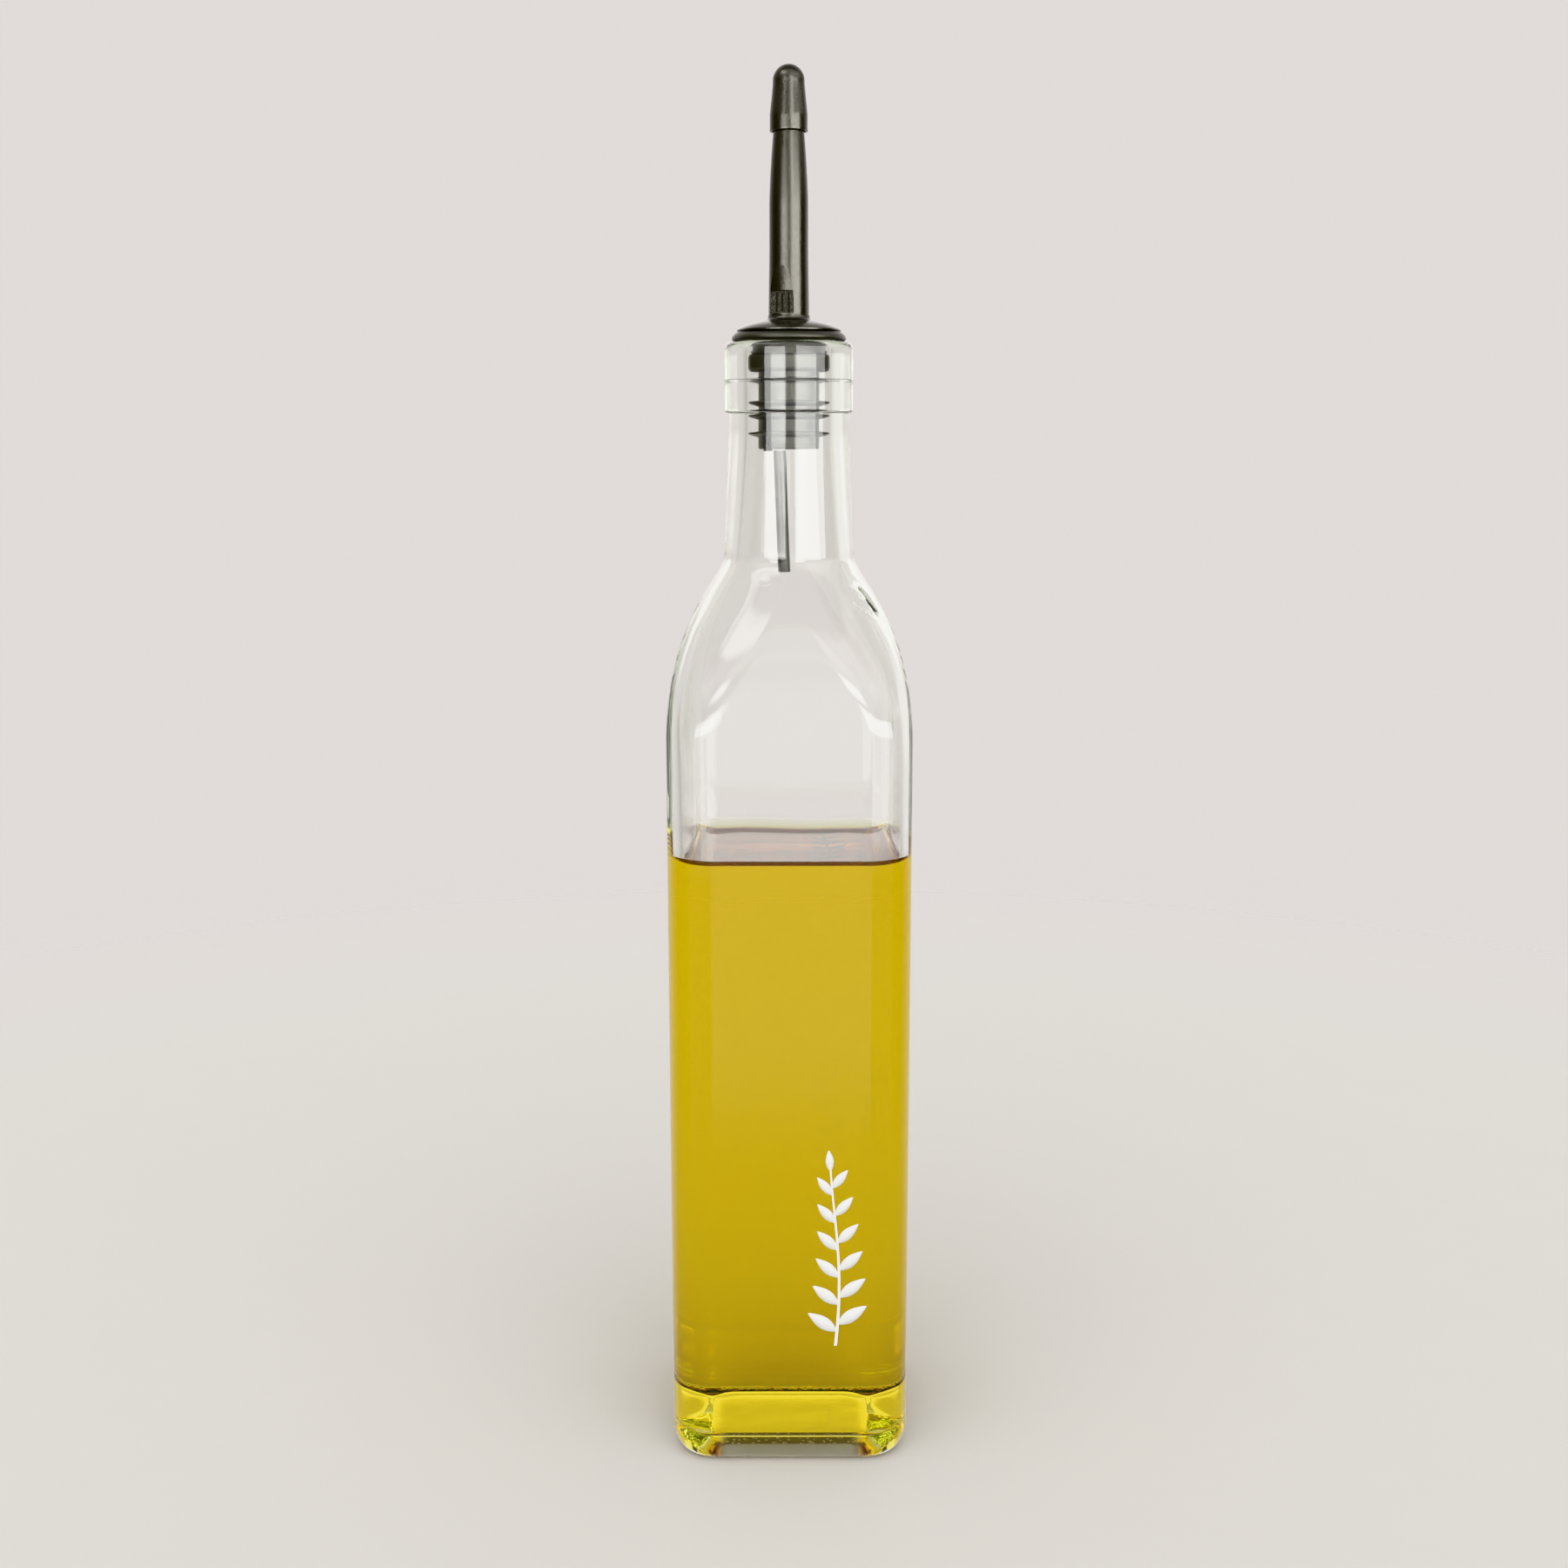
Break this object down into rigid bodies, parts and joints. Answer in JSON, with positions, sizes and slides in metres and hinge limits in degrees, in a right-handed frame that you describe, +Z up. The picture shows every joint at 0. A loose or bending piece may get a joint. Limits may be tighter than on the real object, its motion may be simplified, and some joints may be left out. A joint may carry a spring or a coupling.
{
  "type": "glass oil bottle with pourer",
  "caption": "Tall square clear glass bottle with a round neck, part filled with olive oil, closed by a black ribbed stopper with a tapered pouring spout, dust cap and air tube.",
  "frame": {"origin": "middle of the base, on the surface that the bottle stands on", "axes": "+Z up along the neck, -Y the front with the print, +X to the right seen from the front"},
  "size_m": [0.057, 0.057, 0.327],
  "materials": {
    "clear_glass": "clear pressed and blown soda-lime glass, polished by the fire",
    "olive_oil": "clear golden green olive oil",
    "black_stopper": "soft moulded black polyethylene, satin",
    "black_spout": "moulded black polypropylene, satin gloss",
    "black_cap": "moulded black polyethylene, satin gloss",
    "tube_plastic": "extruded dark grey plastic tube",
    "white_print": "thin white vinyl transfer"
  },
  "bodies": {
    "root": {"glass_bottle": "clear_glass", "olive_oil": "olive_oil", "pourer_stopper": "black_stopper", "pourer_spout": "black_spout", "spout_cap": "black_cap", "air_tube": "tube_plastic"}
  },
  "joints": []
}
